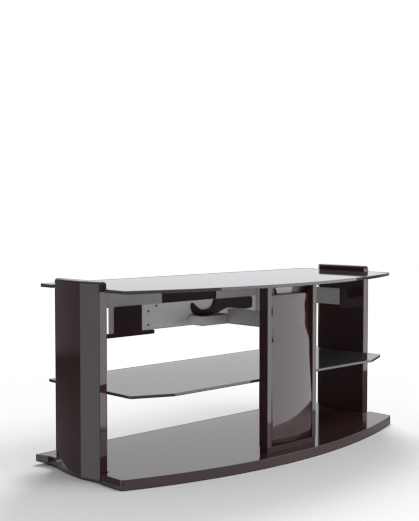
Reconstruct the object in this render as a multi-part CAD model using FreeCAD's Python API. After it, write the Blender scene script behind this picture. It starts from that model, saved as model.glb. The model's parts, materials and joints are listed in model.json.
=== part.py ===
"""Media cabinet: bow-fronted lacquered base, two aerofoil end panels, a glass top and a glass
shelf, a front cable column with a curved hinged door, and a cable rail under the back of the top.

Frame, in millimetres: +X is the width, +Y points to the back, +Z is up. The origin is at floor
level, at the centre of the cabinet's bounding box.
"""
import FreeCAD, Part
import math
import os

V = FreeCAD.Vector

# ---------------------------------------------------------------- driving dimensions
# Depths are measured forwards from the back edge of the base; halves are from the middle plane.
DEPTH = 550.0            # to the front of the base's bow
CORNER_DEPTH = 425.0     # to the front corners, where the bow starts
BASE_HALF = 649.0        # half width of the base at its straight ends
BASE_TIP_HALF = 655.0    # half width at the tips of the rear ears
GLIDE = 2.0              # height of the floor glides
BASE_TOP = 32.0          # height of the base's top face
EAR_RISE = 9.0           # how far the underside of each ear rises at its tip

PANEL_IN = 617.0         # inner face of an end panel
PANEL_RIDGE = 656.0      # widest point of an end panel
RIDGE_DEPTH = 240.0
PANEL_FRONT = 319.0      # depth of a panel's front edge
FRONT_OUT = 645.0        # outer corner of the front edge
PANEL_BACK = 100.0       # depth of the inner corner of the slanted back edge
BACK_OUT = 634.5         # outer corner of the back edge
BACK_OUT_DEPTH = 81.0
PANEL_TOP = 596.0
PANEL_ROUND = 9.0        # rounding of the outer and front top edges
PANEL_WALL = 14.0        # thickness of the panel's curved shell
BOARD_THICK = 6.0        # the inner board that closes the hollow
BOLT_DEPTHS = (135.0, 260.0)
BOLT_Z = 24.0
BOLT_BITE = 40.0         # how far each bolt goes into the base
RIB_HEIGHTS = (120.0, 300.0, 470.0)

GLASS_TOP = 575.0
GLASS_THICK = 10.0
GLASS_UNDER = GLASS_TOP - GLASS_THICK
GLASS_HALF = 634.0
PAD = 1.5                # height of the clear bumpers under the top
BRACKET_DEPTHS = (125.0, 285.0)
SHELF_TOP = 267.0
SHELF_THICK = 8.0
SHELF_UNDER = SHELF_TOP - SHELF_THICK
SHELF_HALF = 603.0
SHELF_FRONT = 465.0      # depth of the shelf's straight front edge
SHELF_FRONT_HALF = 480.0
SHELF_CHAMFER = 55.0     # depth taken off at each end of the front edge
PIN_DEPTHS = (130.0, 265.0)
PIN_Z = SHELF_UNDER - 4.5
PIN_OUT = 23.0           # how far a shelf pin stands out of the panel

COLUMN_HALF = 120.0      # from the middle plane to the column's left side
COLUMN_RIGHT = 118.0     # and to its right side
COLUMN_BACK = 467.0      # depth of the column's rear face
COLUMN_FRONT = 503.0     # depth of its front face
STILE = 20.0             # width of each stile
STILE_IN = COLUMN_HALF - STILE
STILE_FOOT = 51.0        # height where the stiles start, on top of the foot block
SHEET = 2.0              # thickness of the folded steel parts
COLUMN_SHEET = 3.0       # thickness of the column's steel back
HEAD_TALL = 8.0          # height of the cross-bar at the column's head
HEAD_DEEP = 14.0
TONGUE_RECESS = 6.0      # depth of cross-bar left behind the tongue
TONGUE_X = -12.0         # middle of the tongue
TONGUE_TOP_HALF = 44.0
TONGUE_LOW_HALF = 33.0

DOOR_LOW = 53.0
DOOR_HIGH = 536.0
DOOR_LEFT = -95.8
DOOR_RIGHT = 96.8
DOOR_THICK = 5.0
DOOR_BOW = 6.0           # how far the middle of the door stands in front of its sides
DOOR_TOP_DEPTH = 486.5   # depth of the door's sides: above the shoulder,
SHOULDER_DEPTH = 495.5   # under the shoulder,
BELLY_DEPTH = 502.0      # at the belly,
FOOT_DEPTH = 493.0       # and at the foot
SHOULDER_HIGH = 438.0
SHOULDER_LOW = 373.0
BELLY_Z = 130.0
HINGE_X = -96.4          # hinge line of the door
HINGE_DEPTH = 501.4
HINGE_HEIGHTS = (115.0, 485.0)
HINGE_TALL = 30.0
HINGE_PIN_R = 1.2
BARREL_R = 2.2
LATCH_X = 84.0
LATCH_Z = 300.0
PLUNGER_R = 3.0
CATCH_X = STILE_IN - 11.0
STRIKE_THICK = 1.2
CATCH_GAP = 0.5

RAIL_BACK = SHEET
RAIL_DEPTH = 8.0         # depth of the rear rail's front face
RAIL_HALF = 556.0
RAIL_LOW = 481.0
PORT_HALF = 133.0        # cable port in the rail's lower edge
PORT_HIGH = 516.0
PORT_WALL = 3.0
APRON_FACE = RAIL_DEPTH - 1.0
APRON_LOW = 393.0
APRON_SPARE_HOLES = ((-157.0, 426.0), (-130.0, 428.0))
APRON_SCREWS = ((-195.0, 409.0), (-195.0, 457.0), (-157.0, 474.0))
TRAY_HALF = 229.0        # inner end of the moulded bracket
BRACKET_HALF = 348.0     # its outer end
BRACKET_LOW = 381.0
BRACKET_THICK = 9.0
BRACKET_FOOT = 175.0     # inner end of the bracket's foot
END_PLATE = 21.0         # width of the plate at the bracket's outer end
HOOK_THICK = 8.0
HOOK_END = 320.0
HOOK_FACE = APRON_FACE + HOOK_THICK
ARM_LOW = 398.0
ARM_HIGH = 451.0
ARM_LEFT = 112.0
ARM_RIGHT = 132.0
BOX_LEFT = -11.0         # junction tray beside the arm
BOX_DEPTH = 90.0
BOX_HIGH = 430.0
JOINT_HIGH = 417.0       # height that the tray and the arm keep to behind the hook
STRAP_LOW = 441.0        # straps from the panels to the ends of the rail
STRAP_HIGH = 504.0
STRAP_FRONT = 203.0
STRAP_THICK = 3.0

os.makedirs("parts", exist_ok=True)

UP = V(0, 0, 1)
RIGHT = V(1, 0, 0)
FRONT = V(0, -1, 0)
BACK = V(0, 1, 0)


# ---------------------------------------------------------------- helpers
def at(x, depth, z=0.0):
    """A point given by its distance in front of the cabinet's back edge."""
    return V(x, DEPTH / 2 - depth, z)


def block(x0, x1, d0, d1, z0, z1):
    """A box between two widths, two depths from the back and two heights."""
    low = at(min(x0, x1), max(d0, d1), z0)
    return Part.makeBox(abs(x1 - x0), abs(d1 - d0), z1 - z0, low)


def slab(edges, z0, z1):
    """A flat plate from a closed list of edges drawn at z = 0."""
    face = Part.Face(Part.Wire(Part.__sortEdges__(edges)))
    face.translate(V(0, 0, z0))
    return face.extrude(V(0, 0, z1 - z0))


def lines(points):
    """Straight edges through a list of points."""
    return [Part.makeLine(a, b) for a, b in zip(points, points[1:])]


def arc(a, b, c):
    return Part.Arc(a, b, c).toShape()


def mirrored(shape):
    """The same shape on the other side of the cabinet's middle plane."""
    return shape.mirror(V(0, 0, 0), RIGHT)


def pair(solids):
    """The right-hand solids and their mirror images as one compound."""
    return Part.makeCompound(solids + [mirrored(s) for s in solids])


def rod(x, depth, z, radius, length, direction):
    return Part.makeCylinder(radius, length, at(x, depth, z), direction)


def soften(shape, radius, wanted):
    """Round the edges that the test picks."""
    return shape.makeFillet(radius, [e for e in shape.Edges if wanted(e)])


def level(z):
    """A test for edges that lie flat at one height."""
    def test(edge):
        return abs(edge.BoundBox.ZMin - z) < 0.01 and abs(edge.BoundBox.ZMax - z) < 0.01
    return test


def upright(edge, half, depth):
    """True for a vertical edge at plus or minus a half width and at a depth."""
    box = edge.BoundBox
    vertical = box.XLength < 0.01 and box.YLength < 0.01
    return vertical and abs(abs(box.XMin) - half) < 0.1 and abs(box.YMin - at(0, depth).y) < 0.1


def in_front(edge, depth):
    """True for an edge that lies wholly in front of a depth."""
    return edge.BoundBox.YMax < at(0, depth).y


def along_y(length):
    """A test for edges that run straight to the back over a length."""
    def test(edge):
        return abs(edge.BoundBox.YLength - length) < 0.01 and abs(edge.Length - length) < 0.01
    return test


def facing_edges(depth):
    """A test for edges that lie in the upright plane at a depth."""
    y = at(0, depth).y

    def test(edge):
        return abs(edge.BoundBox.YMin - y) < 0.01 and abs(edge.BoundBox.YMax - y) < 0.01
    return test


def screw(x, depth, z, direction, head, length):
    """A screw with a round head that stands out along the direction, and a drive socket."""
    cap_tall, rim, shank_share, socket_share, socket_deep = 2.2, 1.2, 0.45, 0.4, 1.0
    cap = rod(x, depth, z, head, cap_tall, direction)
    cap = soften(cap, rim, lambda e: outer_rim(e, at(x, depth, z), direction, cap_tall))
    shank = rod(x, depth, z, head * shank_share, length, -direction)
    socket_start = at(x, depth, z) + direction * (cap_tall - socket_deep)
    socket = Part.makeCylinder(head * socket_share, socket_deep + 1, socket_start, direction)
    return cap.cut(socket).fuse(shank).removeSplitter()


def outer_rim(edge, base, direction, distance):
    """True for the rim at the outer end of a cylinder that starts at a base point."""
    return abs((edge.BoundBox.Center - base).dot(direction) - distance) < 0.01


def save(node, shape):
    """Write one node, after checking that its solids are sound."""
    if not shape.isValid() or not shape.Solids:
        raise ValueError("bad solid in " + node)
    shape.exportStep("parts/" + node + ".step")
    print("%-24s %2d solids %9.1f cm3" % (node, len(shape.Solids), shape.Volume / 1000))


# ---------------------------------------------------------------- base board and glides
def bow(half):
    """The bowed front edge from one front corner to the other."""
    return arc(at(-half, CORNER_DEPTH), at(0, DEPTH), at(half, CORNER_DEPTH))


def base_right_edge():
    """From the back to the front corner: a hollow-curved ear, the notch for the end panel, the end."""
    notch_gap, ear_hollow = 1.0, 6.0
    start = at(BACK_OUT + notch_gap, BACK_OUT_DEPTH - 2 * notch_gap)
    middle = at((BASE_TIP_HALF + BACK_OUT) / 2 - ear_hollow, BACK_OUT_DEPTH / 2)
    notch_front = PANEL_FRONT + 10
    path = [start, at(PANEL_IN, PANEL_BACK - notch_gap), at(PANEL_IN, notch_front),
            at(BASE_HALF, notch_front), at(BASE_HALF, CORNER_DEPTH)]
    return [arc(at(BASE_TIP_HALF, 0), middle, start)] + lines(path)


def ear_underside():
    """The wedge taken from under the right-hand ear, so that it thins towards its tip."""
    x, start = PANEL_IN - 20, BACK_OUT_DEPTH - 10
    corners = [at(x, start, GLIDE), at(x, -1, GLIDE + EAR_RISE), at(x, -1, GLIDE - 1),
               at(x, start, GLIDE - 1), at(x, start, GLIDE)]
    return Part.Face(Part.Wire(lines(corners))).extrude(RIGHT * 100)


def base_board():
    right = base_right_edge()
    back = lines([at(-BASE_TIP_HALF, 0), at(BASE_TIP_HALF, 0)])
    outline = right + [mirrored(e) for e in right] + back + [bow(BASE_HALF)]
    board = slab(outline, GLIDE, BASE_TOP)
    board = soften(board, 9.0, lambda e: upright(e, BASE_HALF, CORNER_DEPTH))
    board = soften(board, 1.5, lambda e: level(BASE_TOP)(e) and in_front(e, PANEL_FRONT + 9))
    for cutter in bolt_rods(3.05) + [ear_underside()]:
        board = board.cut(cutter).cut(mirrored(cutter))
    return board


def floor_glides():
    places = [(x, d) for x in (190, 560) for d in (45, 410)]
    return pair([rod(x, d, 0, 17, GLIDE, UP) for x, d in places])


# ---------------------------------------------------------------- glass
def top_glass():
    """The glass passes behind and in front of both end panels, with a notch round each."""
    gap_in, gap_back, gap_front = 1.0, 19.0, 8.0
    notch_back = BACK_OUT_DEPTH - gap_back
    side = lines([at(GLASS_HALF, 0), at(GLASS_HALF, notch_back), at(PANEL_IN - gap_in, notch_back),
                  at(PANEL_IN - gap_in, PANEL_FRONT + gap_front), at(GLASS_HALF, PANEL_FRONT + gap_front),
                  at(GLASS_HALF, CORNER_DEPTH)])
    back = lines([at(-GLASS_HALF, 0), at(GLASS_HALF, 0)])
    glass = slab(side + [mirrored(e) for e in side] + back + [bow(GLASS_HALF)], GLASS_UNDER, GLASS_TOP)
    glass = soften(glass, 7.0, lambda e: upright(e, GLASS_HALF, CORNER_DEPTH))
    glass = soften(glass, 4.0, lambda e: upright(e, GLASS_HALF, 0))
    return soften(glass, 1.2, lambda e: level(GLASS_TOP)(e) or level(GLASS_UNDER)(e))


def mid_shelf():
    """A flat-fronted glass shelf with a long chamfer at each front corner."""
    side_depth = SHELF_FRONT - SHELF_CHAMFER
    right = lines([at(SHELF_HALF, 0), at(SHELF_HALF, side_depth), at(SHELF_FRONT_HALF, SHELF_FRONT)])
    ends = [Part.makeLine(at(-half, depth), at(half, depth))
            for half, depth in ((SHELF_HALF, 0), (SHELF_FRONT_HALF, SHELF_FRONT))]
    glass = slab(right + [mirrored(e) for e in right] + ends, SHELF_UNDER, SHELF_TOP)
    glass = soften(glass, 12.0, lambda e: upright(e, SHELF_FRONT_HALF, SHELF_FRONT))
    glass = soften(glass, 12.0, lambda e: upright(e, SHELF_HALF, side_depth))
    return soften(glass, 1.0, lambda e: level(SHELF_TOP)(e) or level(SHELF_UNDER)(e))


# ---------------------------------------------------------------- end panels (right-hand one)
def panel_outline():
    """Flat inside, bulged outside, with a ridge in front of the middle, a flat run from there to
    the front and a slanted back edge."""
    outer = arc(at(BACK_OUT, BACK_OUT_DEPTH), at(649.5, 158), at(PANEL_RIDGE, RIDGE_DEPTH))
    rest = lines([at(PANEL_RIDGE, RIDGE_DEPTH), at(FRONT_OUT, PANEL_FRONT), at(PANEL_IN, PANEL_FRONT),
                  at(PANEL_IN, PANEL_BACK), at(BACK_OUT, BACK_OUT_DEPTH)])
    return [outer] + rest


def pocket_outline():
    """The hollow inside the shell, open on the inner face, where the inner board closes it."""
    back, front = PANEL_BACK + PANEL_WALL, PANEL_FRONT - PANEL_WALL
    back_out, ridge = BACK_OUT - 8, PANEL_RIDGE - PANEL_WALL
    outer = arc(at(back_out, back), at(635, 170), at(ridge, RIDGE_DEPTH))
    rest = lines([at(ridge, RIDGE_DEPTH), at(FRONT_OUT - PANEL_WALL + 2, front), at(PANEL_IN - 1, front),
                  at(PANEL_IN - 1, back), at(back_out, back)])
    return [outer] + rest


def panel_shell():
    shell = slab(panel_outline(), GLIDE, PANEL_TOP)
    for corner in (FRONT_OUT, PANEL_IN):
        shell = soften(shell, 2.0, lambda e: upright(e, corner, PANEL_FRONT))
    shell = soften(shell, PANEL_ROUND, lambda e: level(PANEL_TOP)(e) and panel_top_outside(e))
    return shell.cut(slab(pocket_outline(), GLIDE + PANEL_WALL, PANEL_TOP - PANEL_WALL))


def panel_top_outside(edge):
    """True for the outer and front edges of the panel's top, not for the inner or back ones."""
    box = edge.BoundBox
    inner = box.XMax < PANEL_IN + 0.01
    back = box.YMin > at(0, PANEL_BACK + 0.01).y
    return not inner and not back


def panel_board():
    low, high = GLIDE + PANEL_WALL, PANEL_TOP - PANEL_WALL
    board = block(PANEL_IN, PANEL_IN + BOARD_THICK, PANEL_BACK, PANEL_FRONT, low, high)
    board = board.common(slab(pocket_outline(), low, high))
    for depth in PIN_DEPTHS:
        board = board.cut(rod(PANEL_IN - 1, depth, PIN_Z, 2.5, BOARD_THICK + 2, RIGHT))
    for hole in bolt_rods(3.05):
        board = board.cut(hole)
    return board


def panel_ribs():
    """Cross ribs glued inside the hollows, between each shell and its inner board."""
    ribs = []
    for z in RIB_HEIGHTS:
        rib = block(PANEL_IN + BOARD_THICK, PANEL_RIDGE, PANEL_BACK + 50, PANEL_FRONT, z, z + 12)
        ribs.append(rib.common(slab(pocket_outline(), z, z + 12)))
    return pair(ribs)


def bolt_rods(radius):
    """Cylinders along the bolts that join the right-hand panel to the base."""
    length = BOLT_BITE + BOARD_THICK
    return [rod(PANEL_IN - BOLT_BITE, d, BOLT_Z, radius, length, RIGHT) for d in BOLT_DEPTHS]


def panel_base_bolts():
    """Bolts from each panel's hollow into the ends of the base board."""
    heads = [rod(PANEL_IN + BOARD_THICK, d, BOLT_Z, 5.5, 4, RIGHT) for d in BOLT_DEPTHS]
    return pair([shank.fuse(head).removeSplitter() for shank, head in zip(bolt_rods(3.0), heads)])


# ---------------------------------------------------------------- glass supports
def pin_rod(depth):
    """A shelf pin's plain shank."""
    return rod(PANEL_IN - PIN_OUT, depth, PIN_Z, 2.45, PIN_OUT + 5, RIGHT)


def shelf_pins():
    pins = []
    for depth in PIN_DEPTHS:
        flange = rod(PANEL_IN - 1.6, depth, PIN_Z, 4.2, 1.6, RIGHT)
        pins.append(pin_rod(depth).fuse(flange).removeSplitter())
    return pair(pins)


def shelf_pin_sleeves():
    """Clear sleeves on the pins, closed at the end, that the glass rests on."""
    sleeves = []
    for depth in PIN_DEPTHS:
        sleeve = rod(PANEL_IN - PIN_OUT - 0.5, depth, PIN_Z, 4.5, PIN_OUT - 1.6, RIGHT)
        sleeves.append(sleeve.cut(pin_rod(depth)))
    return pair(sleeves)


def glass_brackets():
    """Small steel angles, screwed to the panels' inner faces, that carry the top glass."""
    half_long, reach, drop, thick = 17, 28, 30, 2.5
    top = GLASS_UNDER - PAD
    angles = []
    for depth in BRACKET_DEPTHS:
        wall = block(PANEL_IN - thick, PANEL_IN, depth - half_long, depth + half_long, top - drop, top)
        shelf = block(PANEL_IN - reach, PANEL_IN, depth - half_long, depth + half_long, top - thick, top)
        angles.append(wall.fuse(shelf).removeSplitter())
    return pair(angles)


def glass_bracket_screws():
    return pair([screw(PANEL_IN - 2.5, depth + offset, GLASS_UNDER - 18, -RIGHT, 3.2, 7.0)
                 for depth in BRACKET_DEPTHS for offset in (-9, 9)])


def glass_pads():
    """Clear bumpers under the top glass, on the four angles and on the column's head."""
    places = [(PANEL_IN - 17, d) for d in BRACKET_DEPTHS] + [(78, COLUMN_BACK + HEAD_DEEP / 2)]
    return pair([rod(x, d, GLASS_UNDER - PAD, 6, PAD, UP) for x, d in places])


# ---------------------------------------------------------------- cable column
def stile(x0, x1):
    """An upright of the column, with the cap slots of its two joint fittings near its right edge."""
    post = block(x0, x1, COLUMN_BACK, COLUMN_FRONT, STILE_FOOT, GLASS_UNDER)
    post = soften(post, 1.0, lambda e: e.BoundBox.ZLength > 400)
    for z in HINGE_HEIGHTS:
        slot = block(x1 - 4, x1 - 2, COLUMN_FRONT - 1, COLUMN_FRONT + 1, z - 10, z + 10)
        post = post.cut(soften(slot, 0.9, along_y(2)))
    return post


def column_back():
    """A thin steel back between the stiles, with a cable slot at its foot and one at the arm."""
    head = GLASS_UNDER - PAD - HEAD_TALL
    sheet = block(-STILE_IN, STILE_IN, COLUMN_BACK, COLUMN_BACK + COLUMN_SHEET, STILE_FOOT, head)
    low = block(-45, 45, COLUMN_BACK - 1, COLUMN_BACK + 4, STILE_FOOT + 18, STILE_FOOT + 53)
    high = block(40, STILE_IN - 10, COLUMN_BACK - 1, COLUMN_BACK + 4, ARM_LOW + 6, ARM_HIGH - 6)
    for slot in (low, high):
        sheet = sheet.cut(soften(slot, 8.0, along_y(5)))
    return sheet


def column_foot():
    """A dark block that sets the column a little above the base."""
    foot = block(1 - COLUMN_HALF, COLUMN_RIGHT - 1, COLUMN_BACK + 1, COLUMN_FRONT - 1, BASE_TOP, STILE_FOOT)
    return soften(foot, 1.5, lambda e: e.BoundBox.ZLength > 10)


def column_head():
    """A cross-bar between the stiles at the top of the column, recessed for the tongue."""
    low, high = GLASS_UNDER - PAD - HEAD_TALL, GLASS_UNDER - PAD
    bar = block(-STILE_IN, STILE_IN, COLUMN_BACK, COLUMN_BACK + HEAD_DEEP, low, high)
    recess_start, recess_end = COLUMN_BACK + TONGUE_RECESS, COLUMN_BACK + HEAD_DEEP + 1
    half = TONGUE_TOP_HALF + 3
    return bar.cut(block(TONGUE_X - half, TONGUE_X + half, recess_start, recess_end, low - 1, high + 1))


def head_tongue():
    """The tapered steel clamp plate near the middle of the column's head."""
    thick = 3
    depth = COLUMN_BACK + TONGUE_RECESS
    top, low = GLASS_UNDER - PAD, DOOR_HIGH + 1
    corners = [(-TONGUE_TOP_HALF, top), (TONGUE_TOP_HALF, top), (TONGUE_LOW_HALF, low),
               (-TONGUE_LOW_HALF, low), (-TONGUE_TOP_HALF, top)]
    outline = lines([at(TONGUE_X + x, depth, z) for x, z in corners])
    plate = Part.Face(Part.Wire(outline)).extrude(FRONT * thick)
    return soften(plate, 3.0, lambda e: along_y(thick)(e) and e.BoundBox.ZMax < low + 1)


def eased(start, end, share):
    """A smooth change from one value to another as the share goes from 0 to 1."""
    share = min(1.0, max(0.0, share))
    return start + (end - start) * (3 - 2 * share) * share * share


def door_side_depth(z):
    """Depth of the door's front face along its sides: set back at the top, easing out over the
    shoulder to a belly, and curling in again at the foot."""
    if z > SHOULDER_LOW:
        return eased(SHOULDER_DEPTH, DOOR_TOP_DEPTH, (z - SHOULDER_LOW) / (SHOULDER_HIGH - SHOULDER_LOW))
    if z > BELLY_Z:
        return eased(BELLY_DEPTH, SHOULDER_DEPTH, (z - BELLY_Z) / (SHOULDER_LOW - BELLY_Z))
    curl = (BELLY_Z - z) / (BELLY_Z - DOOR_LOW)
    return BELLY_DEPTH + (FOOT_DEPTH - BELLY_DEPTH) * curl ** 3


def door_section(z):
    """A horizontal slice of the door: two parallel arcs joined at the sides."""
    side = door_side_depth(z)
    rear_side = side - DOOR_THICK
    middle = (DOOR_LEFT + DOOR_RIGHT) / 2
    front = arc(at(DOOR_LEFT, side, z), at(middle, side + DOOR_BOW, z), at(DOOR_RIGHT, side, z))
    rear = arc(at(DOOR_RIGHT, rear_side, z), at(middle, rear_side + DOOR_BOW, z),
               at(DOOR_LEFT, rear_side, z))
    right = Part.makeLine(at(DOOR_RIGHT, side, z), at(DOOR_RIGHT, rear_side, z))
    left = Part.makeLine(at(DOOR_LEFT, rear_side, z), at(DOOR_LEFT, side, z))
    return Part.Wire([front, right, rear, left])


def column_door():
    """The curved door, with room round the hinge knuckles."""
    foot = [DOOR_LOW + step * (BELLY_Z - DOOR_LOW) / 6 for step in range(6)]
    belly = [BELLY_Z + step * (SHOULDER_LOW - BELLY_Z) / 6 for step in range(6)]
    shoulder = [SHOULDER_LOW + step * (SHOULDER_HIGH - SHOULDER_LOW) / 5 for step in range(6)]
    top = [470, 505, DOOR_HIGH]
    door = Part.makeLoft([door_section(z) for z in foot + belly + shoulder + top], True, False)
    room = 0.6
    for z in HINGE_HEIGHTS:
        tall = HINGE_TALL + 2 * room
        door = door.cut(rod(HINGE_X, HINGE_DEPTH, z - tall / 2, BARREL_R + room, tall, UP))
    return door


def hinge_leaves():
    """Fixed leaves on the left stile: a thin plate and two outer knuckles at each hinge."""
    leaves = []
    third = HINGE_TALL / 3
    for z in HINGE_HEIGHTS:
        low = z - HINGE_TALL / 2
        leaf = block(-STILE_IN, 1.2 - STILE_IN, HINGE_DEPTH - 22, HINGE_DEPTH + 0.5, low, low + HINGE_TALL)
        for start in (low, low + 2 * third):
            barrel = rod(HINGE_X, HINGE_DEPTH, start, BARREL_R, third, UP)
            web = block(-STILE_IN, HINGE_X, HINGE_DEPTH - 1, HINGE_DEPTH + 1, start, start + third)
            leaf = leaf.fuse(barrel).fuse(web)
        leaf = leaf.cut(rod(HINGE_X, HINGE_DEPTH, low - 1, HINGE_PIN_R, HINGE_TALL + 2, UP))
        leaves.append(leaf.removeSplitter())
    return Part.makeCompound(leaves)


def hinge_pins():
    return Part.makeCompound([rod(HINGE_X, HINGE_DEPTH, z - HINGE_TALL / 2, HINGE_PIN_R, HINGE_TALL, UP)
                              for z in HINGE_HEIGHTS])


def hinge_arms(door):
    """Moving leaves on the door: a middle knuckle and a cranked arm to the back of the door."""
    end_play, running_gap, reach = 0.8, 0.05, 16
    tall = HINGE_TALL / 3 - end_play
    arms = []
    for z in HINGE_HEIGHTS:
        low, high = z - tall / 2, z + tall / 2
        rear = door_side_depth(z) - DOOR_THICK - 2.4
        barrel = rod(HINGE_X, HINGE_DEPTH, low, BARREL_R, tall, UP)
        arm = block(HINGE_X - 1.2, HINGE_X + 0.4, rear, HINGE_DEPTH, low, high)
        foot = block(HINGE_X - 1.2, HINGE_X + reach, rear, rear + 4, low, high)
        bore = rod(HINGE_X, HINGE_DEPTH, low - 1, HINGE_PIN_R + running_gap, tall + 2, UP)
        arms.append(barrel.fuse(arm).fuse(foot).cut(bore).cut(door).removeSplitter())
    return Part.makeCompound(arms)


def door_rear_at(x, z):
    """Depth of the door's rear face at a width and height."""
    half = (DOOR_RIGHT - DOOR_LEFT) / 2
    offset = x - (DOOR_LEFT + DOOR_RIGHT) / 2
    radius = (half * half + DOOR_BOW * DOOR_BOW) / (2 * DOOR_BOW)
    bulge = math.sqrt(radius * radius - offset * offset) - (radius - DOOR_BOW)
    return door_side_depth(z) - DOOR_THICK + bulge


def latch_body():
    """Touch-latch housing on the column's back, with a blind bore for its plunger."""
    rear = COLUMN_BACK + COLUMN_SHEET
    deep, half_tall, bore_deep, bore_gap = 14, 9, 11.5, 0.05
    body = block(LATCH_X - 8, STILE_IN, rear, rear + deep, LATCH_Z - half_tall, LATCH_Z + half_tall)
    body = soften(body, 1.5, along_y(deep))
    return body.cut(rod(LATCH_X, rear + deep, LATCH_Z, PLUNGER_R + bore_gap, bore_deep, BACK))


def latch_plunger():
    """The sprung plunger: a rod in the bore and a round tip close to the door's back."""
    tip = door_rear_at(LATCH_X, LATCH_Z) - 0.5
    inner_end = COLUMN_BACK + COLUMN_SHEET + 6.5
    plunger = rod(LATCH_X, tip, LATCH_Z, PLUNGER_R, tip - inner_end, BACK)
    return soften(plunger, 1.2, facing_edges(tip))


def catch_magnets():
    """Round magnets on lugs behind the door's free side, level with the hinges."""
    cup_long, half_tall = 6.0, 4.0
    cups = []
    for z in HINGE_HEIGHTS:
        face = door_rear_at(CATCH_X + 5, z) - STRIKE_THICK - CATCH_GAP
        cup = rod(CATCH_X, face, z, 4.5, cup_long, BACK)
        lug = block(CATCH_X, STILE_IN, face - cup_long, face - 1.5, z - half_tall, z + half_tall)
        cups.append(cup.fuse(lug).removeSplitter())
    return Part.makeCompound(cups)


def strike_plates(door):
    """Steel discs on the door's back that meet the magnets."""
    discs = []
    for z in HINGE_HEIGHTS:
        face = door_rear_at(CATCH_X + 5, z) - STRIKE_THICK
        discs.append(rod(CATCH_X, face + 3, z, 4.0, 3, BACK).cut(door))
    return Part.makeCompound(discs)


# ---------------------------------------------------------------- cable rail under the top
def rear_rail():
    """The rail under the back of the glass, with a cable port in its lower edge."""
    rail = block(-RAIL_HALF, RAIL_HALF, RAIL_BACK, RAIL_DEPTH, RAIL_LOW, GLASS_UNDER)
    return rail.cut(block(-PORT_HALF, PORT_HALF, RAIL_BACK - 1, RAIL_DEPTH + 1, RAIL_LOW - 1, PORT_HIGH))


def port_liner():
    """A plastic tub that lines the cable port and closes it at the back."""
    outer = block(-PORT_HALF, PORT_HALF, RAIL_BACK, RAIL_DEPTH, RAIL_LOW, PORT_HIGH)
    half, low, high = PORT_HALF - PORT_WALL, RAIL_LOW + PORT_WALL, PORT_HIGH - PORT_WALL
    return outer.cut(block(-half, half, RAIL_BACK + 2, RAIL_DEPTH + 1, low, high))


def rail_apron():
    """A joggled steel sheet: a flange behind the rail, an apron below it and a return at the foot."""
    half, flange_tall = BRACKET_HALF, 26
    flange = block(-half, half, 0, SHEET, RAIL_LOW - SHEET, RAIL_LOW + flange_tall)
    joggle = block(-half, half, 0, APRON_FACE, RAIL_LOW - SHEET, RAIL_LOW)
    apron = block(-half, half, APRON_FACE - SHEET, APRON_FACE, APRON_LOW, RAIL_LOW)
    foot = block(-TRAY_HALF, TRAY_HALF, 0, APRON_FACE, APRON_LOW, APRON_LOW + SHEET)
    sheet = flange.fuse(joggle).fuse(apron).fuse(foot).removeSplitter()
    for x, z in APRON_SPARE_HOLES:
        hole = rod(x, APRON_FACE + 1, z, 2.2, SHEET + 2, BACK)
        sheet = sheet.cut(hole).cut(mirrored(hole))
    return sheet


def apron_screws():
    """Screws through the apron, left out on the right where the hook passes over them."""
    left = [screw(x, APRON_FACE, z, FRONT, 4.0, 1.5) for x, z in APRON_SCREWS]
    right = [mirrored(s) for s, place in zip(left, APRON_SCREWS) if place[1] < JOINT_HIGH]
    return Part.makeCompound(left + right)


def tray_bracket():
    """Moulded bracket on the left: a shallow box over the apron's end, with a long foot."""
    front = APRON_FACE + BRACKET_THICK
    body = block(-BRACKET_HALF, -TRAY_HALF, APRON_FACE, front, BRACKET_LOW, RAIL_LOW)
    body = soften(body, 2.5, facing_edges(front))
    foot = block(-BRACKET_HALF - 36, -BRACKET_FOOT, APRON_FACE, front, BRACKET_LOW - 2, APRON_LOW - 1)
    foot = soften(foot, 3.0, along_y(BRACKET_THICK))
    return body.fuse(foot).removeSplitter()


def bracket_end_plate():
    """Left-hand steel plate that ties the apron's outer side up to the rail."""
    plate = block(-BRACKET_HALF - END_PLATE, -BRACKET_HALF, RAIL_DEPTH, RAIL_DEPTH + SHEET,
                  APRON_LOW - 1, RAIL_LOW + 22)
    return soften(plate, 3.0, along_y(SHEET))


def cable_hook():
    """A flat moulded hook on the apron: a long broad stem on the right, a cup on its left."""
    depth = APRON_FACE
    stem_top, cup_right, shoulder_x = 480, 88, 121
    under = [(HOOK_END, 438), (230, 440), (178, 443), (128, 427), (82, 424), (32, 427), (8, 448), (6, 468)]
    cup = [(14, 472), (30, 459), (46, 449), (66, 446), (cup_right, 446)]
    lower = Part.BSplineCurve()
    lower.interpolate([at(x, depth, z) for x, z in under])
    upper = Part.BSplineCurve()
    upper.interpolate([at(x, depth, z) for x, z in cup])
    tip = arc(at(6, depth, 468), at(8.5, depth, 473), at(14, depth, 472))
    shoulder = arc(at(cup_right, depth, 446), at(110, depth, 458), at(shoulder_x, depth, stem_top))
    stem = lines([at(shoulder_x, depth, stem_top), at(HOOK_END, depth, stem_top), at(HOOK_END, depth, 438)])
    edges = [lower.toShape(), tip, upper.toShape(), shoulder] + stem
    hook = Part.Face(Part.Wire(edges)).extrude(FRONT * HOOK_THICK)
    return soften(hook, 8.0, lambda e: along_y(HOOK_THICK)(e) and e.BoundBox.XMin > HOOK_END - 1)


def hook_relief():
    """The space over the low rear part of the tray and the arm, where the hook passes."""
    return block(BOX_LEFT - 1, ARM_RIGHT + 1, 0, HOOK_FACE + 1, JOINT_HIGH, ARM_HIGH + 1)


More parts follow.
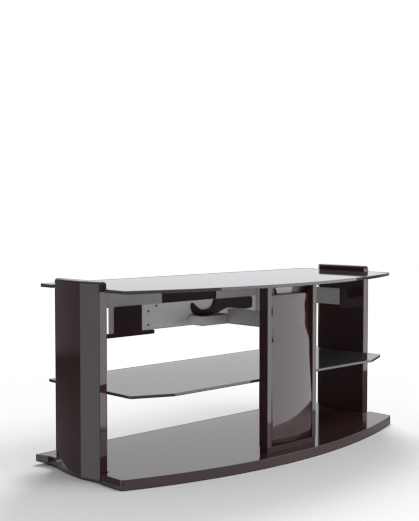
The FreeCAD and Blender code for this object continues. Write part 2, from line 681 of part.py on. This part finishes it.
def cable_box():
    """A shallow sheet-steel junction tray in front of the apron, open on top."""
    outer = block(BOX_LEFT, ARM_LEFT, APRON_FACE, BOX_DEPTH, ARM_LOW, BOX_HIGH)
    inside = block(BOX_LEFT + SHEET, ARM_LEFT + 1, APRON_FACE + SHEET, BOX_DEPTH - SHEET,
                   ARM_LOW + SHEET, BOX_HIGH + 1)
    return outer.cut(inside).cut(hook_relief())


def cable_arm():
    """An open channel that carries cables from the column's back to the rear rail."""
    outer = block(ARM_LEFT, ARM_RIGHT, APRON_FACE, COLUMN_BACK, ARM_LOW, ARM_HIGH)
    inside = block(ARM_LEFT + SHEET, ARM_RIGHT - SHEET, APRON_FACE + SHEET, COLUMN_BACK - SHEET,
                   ARM_LOW + SHEET, ARM_HIGH + 1)
    into_column = block(ARM_LEFT - 1, ARM_LEFT + SHEET + 1, COLUMN_BACK - 40, COLUMN_BACK - SHEET,
                        ARM_LOW + 10, ARM_HIGH + 1)
    over_tray = block(ARM_LEFT - 1, ARM_RIGHT + 1, 0, BOX_DEPTH, BOX_HIGH, ARM_HIGH + 1)
    return outer.cut(inside).cut(into_column).cut(over_tray).cut(hook_relief())


def side_bracket():
    """Right-hand cranked steel strap from the end panel's inner face to the end of the rail."""
    crank, wall_end, rail_end = 98, RAIL_HALF - 16, RAIL_HALF - 60
    thick = STRAP_THICK
    outline = [at(PANEL_IN, STRAP_FRONT), at(PANEL_IN, crank), at(wall_end, RAIL_DEPTH),
               at(rail_end, RAIL_DEPTH), at(rail_end, RAIL_DEPTH + thick),
               at(wall_end - thick / 2, RAIL_DEPTH + thick),
               at(PANEL_IN - thick, crank + thick / 2), at(PANEL_IN - thick, STRAP_FRONT),
               at(PANEL_IN, STRAP_FRONT)]
    return slab(lines(outline), STRAP_LOW, STRAP_HIGH)


def side_bracket_screws():
    screws = [screw(PANEL_IN - STRAP_THICK, d, z, -RIGHT, 3.6, 5.0)
              for d in (130, 180) for z in (STRAP_LOW + 15, STRAP_HIGH - 15)]
    screws.append(screw(RAIL_HALF - 40, RAIL_DEPTH + STRAP_THICK, STRAP_HIGH - 11, FRONT, 3.6, 6.0))
    return pair(screws)


# ---------------------------------------------------------------- the whole cabinet
right_shell = panel_shell()
right_board = panel_board()
left_plate = bracket_end_plate()
door = column_door()
right_strap = side_bracket()

save("base_board", base_board())
save("floor_glides", floor_glides())
save("right_panel_shell", right_shell)
save("left_panel_shell", mirrored(right_shell))
save("right_panel_board", right_board)
save("left_panel_board", mirrored(right_board))
save("panel_ribs", panel_ribs())
save("panel_base_bolts", panel_base_bolts())
save("top_glass", top_glass())
save("glass_pads", glass_pads())
save("glass_brackets", glass_brackets())
save("glass_bracket_screws", glass_bracket_screws())
save("mid_shelf", mid_shelf())
save("shelf_pins", shelf_pins())
save("shelf_pin_sleeves", shelf_pin_sleeves())
save("column_left_stile", stile(-COLUMN_HALF, -STILE_IN))
save("column_right_stile", stile(STILE_IN, COLUMN_RIGHT))
save("column_back", column_back())
save("column_foot", column_foot())
save("column_head", column_head())
save("head_tongue", head_tongue())
save("column_door", door)
save("hinge_leaves", hinge_leaves())
save("hinge_pins", hinge_pins())
save("hinge_arms", hinge_arms(door))
save("latch_body", latch_body())
save("latch_plunger", latch_plunger())
save("catch_magnets", catch_magnets())
save("strike_plates", strike_plates(door))
save("rear_rail", rear_rail())
save("port_liner", port_liner())
save("rail_apron", rail_apron())
save("apron_screws", apron_screws())
save("tray_bracket", tray_bracket())
save("left_end_plate", left_plate)
save("right_end_plate", mirrored(left_plate))
save("cable_hook", cable_hook())
save("cable_box", cable_box())
save("cable_arm", cable_arm())
save("right_side_bracket", right_strap)
save("left_side_bracket", mirrored(right_strap))
save("side_bracket_screws", side_bracket_screws())
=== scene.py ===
import json
import math

import bpy
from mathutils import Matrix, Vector


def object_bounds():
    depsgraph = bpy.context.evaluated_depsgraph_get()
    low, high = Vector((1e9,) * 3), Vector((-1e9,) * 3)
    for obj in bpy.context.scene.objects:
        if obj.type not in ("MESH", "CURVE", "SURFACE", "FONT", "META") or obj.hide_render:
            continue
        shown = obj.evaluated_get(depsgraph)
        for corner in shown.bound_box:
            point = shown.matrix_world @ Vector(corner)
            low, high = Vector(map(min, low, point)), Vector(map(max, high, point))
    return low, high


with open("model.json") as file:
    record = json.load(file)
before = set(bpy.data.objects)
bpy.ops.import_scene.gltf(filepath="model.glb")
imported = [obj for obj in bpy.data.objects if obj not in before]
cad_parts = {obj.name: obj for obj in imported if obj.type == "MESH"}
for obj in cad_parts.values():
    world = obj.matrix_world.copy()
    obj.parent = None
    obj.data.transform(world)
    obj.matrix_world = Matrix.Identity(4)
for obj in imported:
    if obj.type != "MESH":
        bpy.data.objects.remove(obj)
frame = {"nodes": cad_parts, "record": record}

CAD_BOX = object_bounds()
SCENE = bpy.context.scene
NODES = frame["nodes"]

# The camera: where the eye stands, how far it tilts and turns in degrees, and its lens.
EYE = (-2.3574, -2.2987, 0.7936)
EYE_TILT, EYE_TURN = 87.264, -43.755
LENS_MM, SENSOR_MM = 66.78, 36.0

# The floor: edges of the near sheet, whose front edge runs at a slant, and the reach of the rest.
FLOOR_MARGIN = 0.02
FLOOR_RIGHT = 1.75
FLOOR_FRONT_LEFT, FLOOR_FRONT_RIGHT = -0.535, -0.785
FLOOR_REACH = 9.0

# Brightness of the lamps, where 1 is the white that the camera sees behind the cabinet.
SOFTBOX_RADIANCE = 2.75
CARD_RADIANCE = 1.2
OVERHEAD_RADIANCE = 5.0
RAIL_RADIANCE = 5.5
KEY_RADIANCE = 25.0

# Strengths of the parts of the world.
BACKDROP, OVERHEAD, LEFT_ROOM, ROOM_DIM = 0.95, 0.55, 0.20, 0.04
DIFFUSE_FILL = 0.5


# ------------------------------------------------------------------ node helpers
class Graph:
    """A material's or the world's node tree, with short calls for adding and linking nodes."""

    def __init__(self, owner):
        owner.use_nodes = True
        self.tree = owner.node_tree
        self.tree.nodes.clear()

    def add(self, kind, **settings):
        node = self.tree.nodes.new(kind)
        for name, value in settings.items():
            setattr(node, name, value)
        return node

    def link(self, source, target):
        self.tree.links.new(source, target)

    def place(self):
        """Object-space position, in metres."""
        return self.add("ShaderNodeTexCoord").outputs["Object"]

    def noise(self, scale, detail=3.0, rough=0.5, stretch=None):
        """A noise value between 0 and 1 over the object, optionally stretched along an axis."""
        source = self.place()
        if stretch:
            mapping = self.add("ShaderNodeMapping")
            mapping.inputs["Scale"].default_value = stretch
            self.link(source, mapping.inputs["Vector"])
            source = mapping.outputs["Vector"]
        node = self.add("ShaderNodeTexNoise")
        node.inputs["Scale"].default_value = scale
        node.inputs["Detail"].default_value = detail
        node.inputs["Roughness"].default_value = rough
        self.link(source, node.inputs["Vector"])
        return node.outputs["Fac"]

    def spread(self, value, low, high, start=0.0, end=1.0):
        """Map a 0-1 value onto a range."""
        node = self.add("ShaderNodeMapRange")
        node.inputs["From Min"].default_value = start
        node.inputs["From Max"].default_value = end
        node.inputs["To Min"].default_value = low
        node.inputs["To Max"].default_value = high
        self.link(value, node.inputs["Value"])
        return node.outputs["Result"]

    def mix(self, factor, first, second):
        """Blend two colours; each is a colour or another node's output."""
        node = self.add("ShaderNodeMix", data_type="RGBA")
        self.link(factor, node.inputs["Factor"])
        for value, socket in ((first, node.inputs["A"]), (second, node.inputs["B"])):
            if isinstance(value, tuple):
                socket.default_value = (*value, 1.0)
            else:
                self.link(value, socket)
        return node.outputs["Result"]

    def math(self, operation, first, second=0.0):
        node = self.add("ShaderNodeMath", operation=operation)
        for value, socket in zip((first, second), node.inputs):
            if isinstance(value, (int, float)):
                socket.default_value = value
            else:
                self.link(value, socket)
        return node.outputs["Value"]

    def bump(self, height, strength, distance):
        node = self.add("ShaderNodeBump")
        node.inputs["Strength"].default_value = strength
        node.inputs["Distance"].default_value = distance
        self.link(height, node.inputs["Height"])
        return node

    def edge_wear(self, radius):
        """0 on open surfaces and towards 1 on rounded-off edges."""
        bevel = self.add("ShaderNodeBevel", samples=4)
        bevel.inputs["Radius"].default_value = radius
        geometry = self.add("ShaderNodeNewGeometry")
        dot = self.add("ShaderNodeVectorMath", operation="DOT_PRODUCT")
        self.link(bevel.outputs["Normal"], dot.inputs[0])
        self.link(geometry.outputs["Normal"], dot.inputs[1])
        return self.spread(dot.outputs["Value"], 1.0, 0.0, 0.75, 0.99)

    def surface(self, **inputs):
        """A principled shader as the surface; each input is a value or another node's output."""
        shader = self.add("ShaderNodeBsdfPrincipled")
        for name, value in inputs.items():
            socket = shader.inputs[name.replace("_", " ")]
            if isinstance(value, bpy.types.NodeSocket):
                self.link(value, socket)
            elif isinstance(value, tuple):
                socket.default_value = (*value, 1.0)
            else:
                socket.default_value = value
        output = self.add("ShaderNodeOutputMaterial")
        self.link(shader.outputs["BSDF"], output.inputs["Surface"])
        return shader


def material(name):
    made = bpy.data.materials.new(name)
    return made, Graph(made)


# ------------------------------------------------------------------ materials
def lacquer():
    """Deep gloss espresso lacquer: faint cloudiness, orange peel, dust and slightly worn edges."""
    made, g = material("espresso_lacquer")
    cloud = g.noise(3.5, 4.0, 0.6)
    deep = g.mix(cloud, (0.026, 0.0125, 0.0128), (0.034, 0.0165, 0.0168))
    patches = g.spread(g.noise(90.0, 5.0), 0.0, 0.5, 0.45, 0.75)
    worn = g.math("MULTIPLY", g.edge_wear(0.0012), patches)
    colour = g.mix(worn, deep, (0.06, 0.045, 0.042))
    dust = g.spread(g.noise(700.0, 2.0), 0.0, 1.0, 0.62, 0.80)
    smears = g.spread(g.noise(9.0, 5.0, 0.65, (1.0, 1.0, 0.35)), 0.030, 0.075)
    rough = g.math("ADD", smears, g.math("MULTIPLY", dust, 0.05))
    peel = g.noise(160.0, 2.0, 0.4)
    flow = g.noise(11.0, 1.0, 0.3)
    coarse = g.bump(flow, 0.10, 0.0006)
    fine = g.bump(peel, 0.10, 0.00008)
    g.link(coarse.outputs["Normal"], fine.inputs["Normal"])
    g.surface(Base_Color=colour, Roughness=rough, IOR=1.5, Normal=fine.outputs["Normal"])
    return made


def satin_lacquer():
    """The column foot's darker, flatter lacquer."""
    made, g = material("satin_dark_lacquer")
    colour = g.mix(g.noise(24.0, 4.0), (0.021, 0.0100, 0.0105), (0.028, 0.0135, 0.0140))
    rough = g.spread(g.noise(60.0, 4.0), 0.36, 0.50)
    grain = g.bump(g.noise(500.0, 3.0), 0.15, 0.0001)
    g.surface(Base_Color=colour, Roughness=rough, IOR=1.32, Normal=grain.outputs["Normal"])
    return made


def smoked_glass():
    """Polished smoked glass: dark in the body, with faint ripple, wipe marks and dust."""
    made, g = material("smoked_glass")
    tint = g.mix(g.noise(2.5, 2.0), (0.050, 0.050, 0.055), (0.062, 0.062, 0.068))
    dust = g.spread(g.noise(520.0, 2.0), 0.0, 1.0, 0.63, 0.82)
    wipes = g.spread(g.noise(6.0, 5.0, 0.6, (0.25, 1.0, 1.0)), 0.010, 0.035)
    rough = g.math("ADD", wipes, g.math("MULTIPLY", dust, 0.06))
    ripple = g.bump(g.noise(5.0, 1.0, 0.3), 0.08, 0.0004)
    g.surface(Base_Color=tint, Roughness=rough, IOR=1.5, Transmission_Weight=0.35,
              Normal=ripple.outputs["Normal"])
    return made


def painted_steel(name, dark, light, low, high):
    """Painted sheet steel between two shades and two roughnesses, with a fine powder texture and
    rubbed edges."""
    made, g = material(name)
    colour = g.mix(g.noise(18.0, 4.0), dark, light)
    patches = g.spread(g.noise(140.0, 4.0), 0.0, 0.6, 0.45, 0.8)
    worn = g.math("MULTIPLY", g.edge_wear(0.0008), patches)
    colour = g.mix(worn, colour, (0.22, 0.21, 0.20))
    rough = g.spread(g.noise(80.0, 4.0), low, high)
    powder = g.bump(g.noise(900.0, 2.0), 0.15, 0.00008)
    g.surface(Base_Color=colour, Roughness=rough, IOR=1.5, Normal=powder.outputs["Normal"])
    return made


def nickel():
    """Nickel-plated hardware with fine turning marks."""
    made, g = material("nickel_plate")
    colour = g.mix(g.noise(220.0, 3.0), (0.52, 0.51, 0.49), (0.66, 0.65, 0.63))
    rough = g.spread(g.noise(700.0, 2.0, 0.5, (1.0, 1.0, 12.0)), 0.18, 0.36)
    marks = g.bump(g.noise(900.0, 2.0, 0.5, (1.0, 1.0, 10.0)), 0.10, 0.00008)
    g.surface(Base_Color=colour, Metallic=1.0, Roughness=rough, Normal=marks.outputs["Normal"])
    return made


def black_plastic():
    """Dark moulded plastic with a spark-eroded texture."""
    made, g = material("dark_moulded_plastic")
    colour = g.mix(g.noise(40.0, 3.0), (0.027, 0.0130, 0.0133), (0.035, 0.0170, 0.0173))
    worn = g.math("MULTIPLY", g.edge_wear(0.0008), 0.4)
    colour = g.mix(worn, colour, (0.05, 0.04, 0.04))
    rough = g.spread(g.noise(300.0, 3.0), 0.55, 0.72)
    texture = g.bump(g.noise(1100.0, 2.0), 0.35, 0.00015)
    g.surface(Base_Color=colour, Roughness=rough, IOR=1.3, Normal=texture.outputs["Normal"])
    return made


def clear_rubber():
    """Soft translucent bumper rubber."""
    made, g = material("clear_rubber")
    colour = g.mix(g.noise(200.0, 3.0), (0.46, 0.46, 0.45), (0.60, 0.60, 0.58))
    rough = g.spread(g.noise(400.0, 3.0), 0.30, 0.48)
    skin = g.bump(g.noise(800.0, 2.0), 0.2, 0.0001)
    g.surface(Base_Color=colour, Roughness=rough, IOR=1.42, Transmission_Weight=0.6,
              Normal=skin.outputs["Normal"])
    return made


def hard_felt():
    """Pressed felt of the floor glides."""
    made, g = material("hard_felt")
    colour = g.mix(g.noise(900.0, 4.0, 0.7), (0.030, 0.027, 0.026), (0.085, 0.078, 0.072))
    fibres = g.bump(g.noise(1400.0, 4.0, 0.7), 0.6, 0.0003)
    g.surface(Base_Color=colour, Roughness=0.95, Sheen_Weight=0.3, Normal=fibres.outputs["Normal"])
    return made


def raw_board():
    """Unfinished fibreboard, with its flecks."""
    made, g = material("raw_board")
    colour = g.mix(g.noise(600.0, 4.0, 0.6), (0.26, 0.18, 0.11), (0.42, 0.31, 0.20))
    fibres = g.bump(g.noise(800.0, 4.0), 0.4, 0.0002)
    g.surface(Base_Color=colour, Roughness=0.85, Normal=fibres.outputs["Normal"])
    return made


MATERIALS = {
    "lacquer": lacquer(),
    "dark_lacquer": satin_lacquer(),
    "smoked_glass": smoked_glass(),
    "grey_steel": painted_steel(
        "grey_painted_steel", dark=(0.62, 0.60, 0.61), light=(0.68, 0.66, 0.67),
        low=0.42, high=0.50),
    "mid_steel": painted_steel(
        "grey_brown_painted_steel", dark=(0.33, 0.31, 0.32), light=(0.37, 0.35, 0.36),
        low=0.42, high=0.50),
    "dark_steel": painted_steel(
        "dark_painted_steel", dark=(0.016, 0.010, 0.010), light=(0.024, 0.016, 0.016),
        low=0.32, high=0.45),
    "bright_steel": nickel(),
    "black_plastic": black_plastic(),
    "clear_rubber": clear_rubber(),
    "felt": hard_felt(),
    "raw_board": raw_board(),
}


def finish_cad_nodes():
    """Give every node of the frame the detailed material of its slot."""
    for entry in frame["record"]["subparts"]:
        node = NODES[entry["node"]]
        made = MATERIALS[entry["material_slot"]]
        if not node.material_slots:
            node.data.materials.append(made)
        for place in node.material_slots:
            place.material = made


# ------------------------------------------------------------------ studio
def direction(azimuth, height):
    """A unit vector: azimuth in degrees from +X towards +Y, height in degrees above the floor."""
    a, h = math.radians(azimuth), math.radians(height)
    return Vector((math.cos(a) * math.cos(h), math.sin(a) * math.cos(h), math.sin(h)))


def lobe(g, looking, towards, inner, outer, amount):
    """World light that is full within an inner angle of a direction and gone at an outer one."""
    dot = g.add("ShaderNodeVectorMath", operation="DOT_PRODUCT")
    g.link(looking, dot.inputs[0])
    dot.inputs[1].default_value = towards
    node = g.add("ShaderNodeMapRange", interpolation_type="SMOOTHSTEP")
    node.inputs["From Min"].default_value = math.cos(math.radians(outer))
    node.inputs["From Max"].default_value = math.cos(math.radians(inner))
    node.inputs["To Max"].default_value = amount
    g.link(dot.outputs["Value"], node.inputs["Value"])
    return node.outputs["Result"]


def studio_world():
    """White to look at, and an even fill for diffuse light. Reflections see a bright backdrop
    behind the cabinet, a light overhead, and a dim room to the left above a fading floor."""
    world = bpy.data.worlds.new("studio")
    SCENE.world = world
    g = Graph(world)
    looking = g.add("ShaderNodeTexCoord").outputs["Generated"]
    backdrop = lobe(g, looking, direction(42, 14), inner=36, outer=47, amount=BACKDROP)
    overhead = lobe(g, looking, direction(0, 90), inner=30, outer=75, amount=OVERHEAD)
    left_room = lobe(g, looking, direction(108, -8), inner=20, outer=28, amount=LEFT_ROOM)
    height = g.add("ShaderNodeSeparateXYZ")
    g.link(looking, height.inputs["Vector"])
    above_floor = g.spread(height.outputs["Z"], 0.0, 1.0, -0.12, 0.0)
    backdrop = g.math("MULTIPLY", backdrop, above_floor)
    wall = g.spread(height.outputs["Z"], 0.0, 1.0, -0.146, -0.136)
    ground = g.spread(height.outputs["Z"], 0.8, 0.0, -0.22, -0.146)
    left_room = g.math("MULTIPLY", left_room, g.math("ADD", wall, ground))
    sides = g.math("ADD", left_room, ROOM_DIM)
    seen = g.math("ADD", g.math("ADD", backdrop, overhead), sides)
    path = g.add("ShaderNodeLightPath")
    room = g.add("ShaderNodeBackground")
    room.inputs["Color"].default_value = (0.98, 0.975, 1.0, 1.0)
    g.link(seen, room.inputs["Strength"])
    fill = g.add("ShaderNodeBackground")
    fill.inputs["Color"].default_value = (1.0, 1.0, 1.0, 1.0)
    fill.inputs["Strength"].default_value = DIFFUSE_FILL
    white = g.add("ShaderNodeBackground")
    white.inputs["Color"].default_value = (1.0, 1.0, 1.0, 1.0)
    soft = g.add("ShaderNodeMixShader")
    g.link(path.outputs["Is Diffuse Ray"], soft.inputs[0])
    g.link(room.outputs["Background"], soft.inputs[1])
    g.link(fill.outputs["Background"], soft.inputs[2])
    shown = g.add("ShaderNodeMixShader")
    g.link(path.outputs["Is Camera Ray"], shown.inputs[0])
    g.link(soft.outputs["Shader"], shown.inputs[1])
    g.link(white.outputs["Background"], shown.inputs[2])
    output = g.add("ShaderNodeOutputWorld")
    g.link(shown.outputs["Shader"], output.inputs["Surface"])


def softbox(name, centre, target, width, height, radiance):
    """A rectangular area light that faces a target."""
    data = bpy.data.lights.new(name, "AREA")
    data.shape = "RECTANGLE"
    data.size = width
    data.size_y = height
    data.energy = radiance * math.pi * width * height
    lamp = bpy.data.objects.new(name, data)
    lamp.location = centre
    lamp.rotation_euler = (Vector(target) - Vector(centre)).to_track_quat("-Z", "Y").to_euler()
    lamp.visible_camera = False
    SCENE.collection.objects.link(lamp)
    return lamp


def floor_sheet(name, corners, made):
    """A level piece of floor with the given outline, which shows only the shadows on it."""
    mesh = bpy.data.meshes.new(name)
    height = CAD_BOX[0][2]
    mesh.from_pydata([(x, y, height) for x, y in corners], [], [tuple(range(len(corners)))])
    sheet = bpy.data.objects.new(name, mesh)
    SCENE.collection.objects.link(sheet)
    mesh.materials.append(made)
    sheet.is_shadow_catcher = True
    return sheet


def floor_material():
    """Pale floor with painted shade: less bright towards its right-hand end, standing in for the
    shadowed floor that the lacquer mirrors there.
    """
    made, g = material("studio_floor")
    place = g.add("ShaderNodeSeparateXYZ")
    g.link(g.place(), place.inputs["Vector"])
    rightness = g.spread(place.outputs["X"], 0.0, 1.0, 0.0, 0.8)
    # painted shade: the floor colour runs from pale at the left to dark at the right, so the
    # mirrored floor looks shadowed there
    colour = g.mix(rightness, (0.95, 0.95, 0.96), (0.12, 0.12, 0.122))
    g.surface(Base_Color=colour, Roughness=0.9, Specular_IOR_Level=0.0)
    return made


def studio_floor():
    """A near sheet that the lacquer mirrors, inside a wide floor that it doesn't."""
    low, high = CAD_BOX
    made = floor_material()
    left, right, back = low[0] - FLOOR_MARGIN, FLOOR_RIGHT, high[1] + FLOOR_MARGIN
    front_left, front_right = FLOOR_FRONT_LEFT, FLOOR_FRONT_RIGHT
    wide = FLOOR_REACH
    near = [(left, front_left), (right, front_right), (right, back), (left, back)]
    floor_sheet("near_floor", near, made)
    outer = {
        "floor_left": [(-wide, -wide), (left, -wide), (left, wide), (-wide, wide)],
        "floor_right": [(right, -wide), (wide, -wide), (wide, wide), (right, wide)],
        "floor_front": [(left, -wide), (right, -wide), (right, front_right), (left, front_left)],
        "floor_back": [(left, back), (right, back), (right, wide), (left, wide)],
    }
    for name, corners in outer.items():
        floor_sheet(name, corners, made).visible_glossy = False


def camera():
    """The eye stands to the front left, a little above the top, and looks almost level."""
    data = bpy.data.cameras.new("camera")
    data.lens = LENS_MM
    data.sensor_width = SENSOR_MM
    eye = bpy.data.objects.new("camera", data)
    eye.location = EYE
    eye.rotation_euler = (math.radians(EYE_TILT), 0.0, math.radians(EYE_TURN))
    SCENE.collection.objects.link(eye)
    SCENE.camera = eye


def mirrored_lights():
    """Lamps whose shapes show in the gloss: two softboxes in one plane, the upper one starting
    where the lower one ends, and a card on the left that only reflections see."""
    softbox("front_right_softbox", centre=(1.55, -1.75, 0.02), target=(0.0, 0.0, 0.02),
            width=2.6, height=0.92, radiance=SOFTBOX_RADIANCE)
    softbox("upper_softbox", centre=(1.647, -1.664, 1.03), target=(0.321, -0.166, 1.03),
            width=1.2, height=1.1, radiance=SOFTBOX_RADIANCE)
    card = softbox("left_card", centre=(-1.35, 0.05, 0.35), target=(0.0, 0.05, 0.35),
                   width=1.2, height=1.2, radiance=CARD_RADIANCE)
    card.visible_diffuse = False


def unseen_lights():
    """Lamps that light the cabinet and its floor without showing in the gloss."""
    front = softbox("front_overhead", centre=(0.6, -1.5, 3.1), target=(0.0, 0.0, 0.2),
                    width=1.8, height=1.8, radiance=OVERHEAD_RADIANCE)
    rail = softbox("rail_light", centre=(-0.9, -1.9, 0.36), target=(-0.05, 0.27, 0.44),
                   width=1.0, height=0.5, radiance=RAIL_RADIANCE)
    back = softbox("back_key", centre=(1.35, 1.25, 2.8), target=(0.0, 0.0, 0.2),
                   width=1.1, height=1.1, radiance=KEY_RADIANCE)
    for lamp in (front, rail, back):
        lamp.visible_glossy = False


finish_cad_nodes()
camera()
studio_world()
studio_floor()
mirrored_lights()
unseen_lights()
SCENE.view_settings.view_transform = "Standard"
